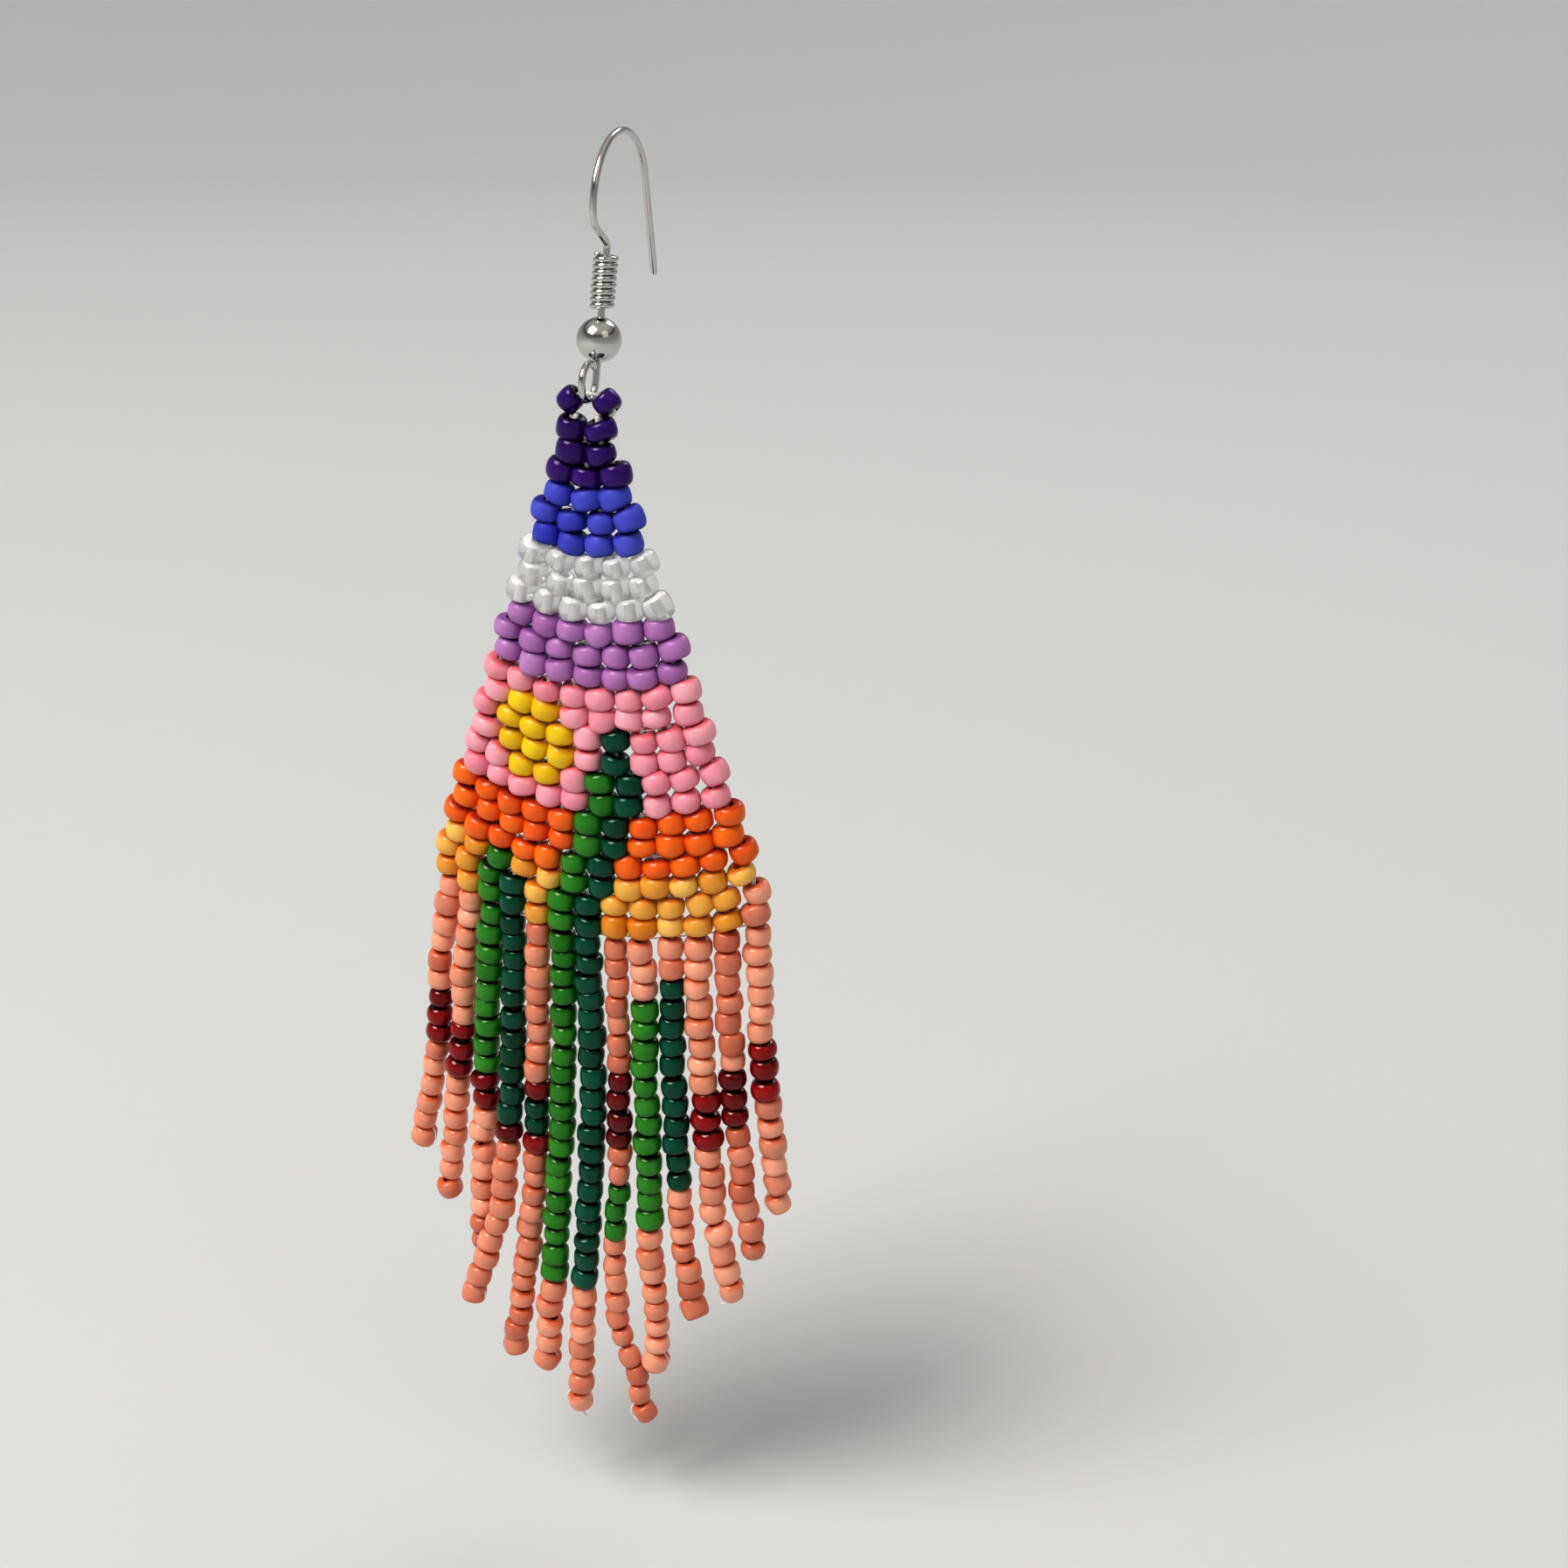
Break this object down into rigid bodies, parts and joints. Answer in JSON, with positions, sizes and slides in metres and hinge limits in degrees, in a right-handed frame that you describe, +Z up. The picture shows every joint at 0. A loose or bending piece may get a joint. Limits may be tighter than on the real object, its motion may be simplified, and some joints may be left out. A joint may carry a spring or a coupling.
{
  "type": "beaded fringe earring",
  "caption": "Hook earring whose drop is a triangle of brick-stitched glass seed beads with a long fringe of bead strands.",
  "frame": {"origin": "inside top of the hook's arch, where the wire rests in the ear", "axes": "+Z up along the hanging drop, -Y towards the front face of the panel, +X to the panel's right as seen from the front"},
  "size_m": [0.0306, 0.014, 0.0956],
  "materials": {
    "silver_wire": "polished silver",
    "clear_thread": "clear fishing-line thread",
    "purple_glass": "glossy purple glass seed beads",
    "pink_glass": "satin pink glass seed beads",
    "coral_glass": "satin coral glass seed beads",
    "light_green_glass": "glossy leaf-green glass seed beads",
    "dark_green_glass": "glossy dark green glass seed beads"
  },
  "bodies": {
    "hook": {"ear_hook": "silver_wire", "hook_coil": "silver_wire", "hook_ball": "silver_wire"},
    "drop": {"loop_thread": "clear_thread", "loop_bead_left": "purple_glass", "loop_bead_right": "purple_glass", "bead_panel": "pink_glass", "strand_1": "coral_glass", "strand_2": "coral_glass", "strand_3": "light_green_glass", "strand_4": "dark_green_glass", "strand_5": "coral_glass", "strand_6": "light_green_glass", "strand_7": "dark_green_glass", "strand_8": "coral_glass", "strand_9": "light_green_glass", "strand_10": "dark_green_glass", "strand_11": "coral_glass", "strand_12": "coral_glass", "strand_13": "coral_glass"}
  },
  "joints": [
    {"name": "drop_swing", "type": "hinge", "parent": "hook", "child": "drop", "pos_m": [0, -0.00541, -0.016], "axis": [1, 0, 0], "range_deg": [-60, 60]}
  ]
}
